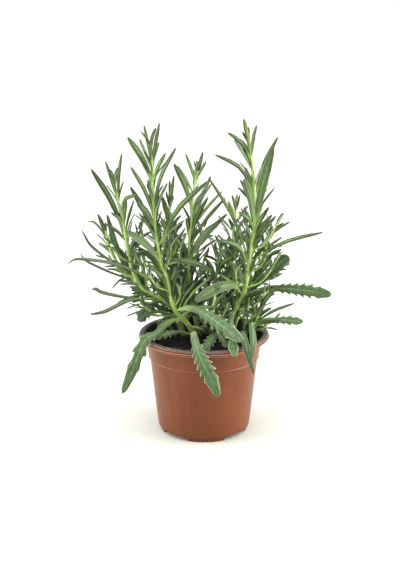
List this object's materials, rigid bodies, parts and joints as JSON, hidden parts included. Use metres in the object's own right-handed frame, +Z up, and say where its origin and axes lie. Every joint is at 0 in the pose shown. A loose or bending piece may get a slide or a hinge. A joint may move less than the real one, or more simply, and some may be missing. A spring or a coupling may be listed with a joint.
{
  "type": "potted lavender",
  "caption": "Young leafy lavender with cut-edged lower leaves, standing in soil in a round tapered plastic nursery pot.",
  "frame": {"origin": "middle of the pot's underside, on the surface it stands on", "axes": "+Z up along the pot's axis, -Y towards the front, +X to the right seen from the front"},
  "size_m": [0.2605, 0.1602, 0.3102],
  "materials": {
    "pot_plastic": "satin",
    "peat_soil": "matte",
    "green_leaf": "satin"
  },
  "bodies": {
    "root": {"pot": "pot_plastic", "soil": "peat_soil", "shoot_tall_left": "green_leaf", "shoot_left": "green_leaf", "shoot_far_left": "green_leaf", "shoot_middle": "green_leaf", "shoot_tall_right": "green_leaf", "shoot_right_back": "green_leaf", "shoot_right_front": "green_leaf", "shoot_inner_right": "green_leaf", "shoot_inner_left": "green_leaf", "shoot_front": "green_leaf", "shoot_back_left": "green_leaf", "shoot_back_right": "green_leaf"}
  },
  "joints": []
}
